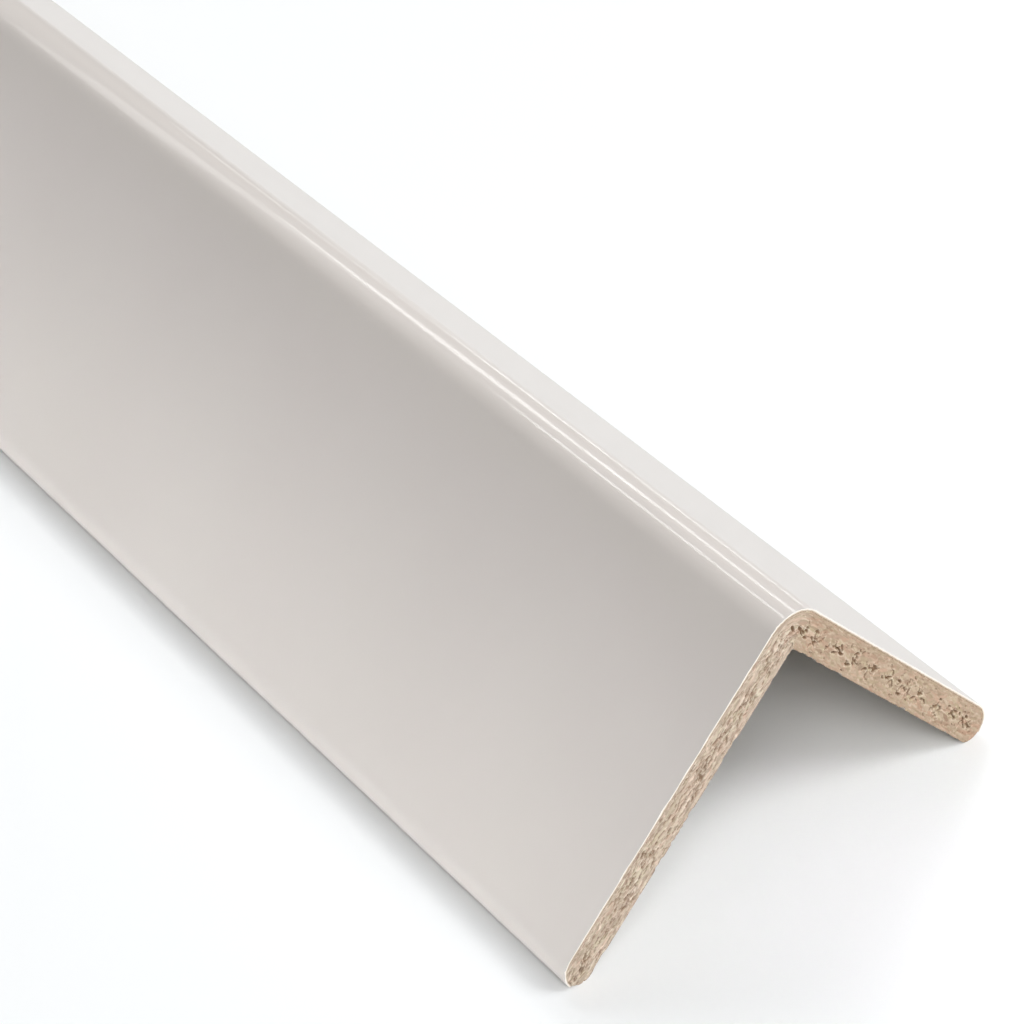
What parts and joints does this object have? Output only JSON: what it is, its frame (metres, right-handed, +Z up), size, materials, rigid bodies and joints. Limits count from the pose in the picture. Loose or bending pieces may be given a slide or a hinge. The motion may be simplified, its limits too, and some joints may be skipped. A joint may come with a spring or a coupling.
{
  "type": "corner moulding",
  "caption": "Right-angled corner moulding, a length of moulded chipboard wrapped outside in glossy light grey foil, round outer corner and round free edges.",
  "frame": {"origin": "on the floor, under the middle of the moulding's box, with the moulding lying like a tent on its two free edges", "axes": "+Y along the moulding, away from the sawn end that the picture shows; +Z up through the outer corner; +X towards the right leg seen from that end"},
  "size_m": [0.0818, 0.3, 0.0429],
  "materials": {
    "chipboard": "raw moulded chipboard, sawn at the ends",
    "decor_foil": "glossy warm light grey decor foil"
  },
  "bodies": {
    "root": {"chipboard_core": "chipboard", "foil_wrap": "decor_foil"}
  },
  "joints": []
}
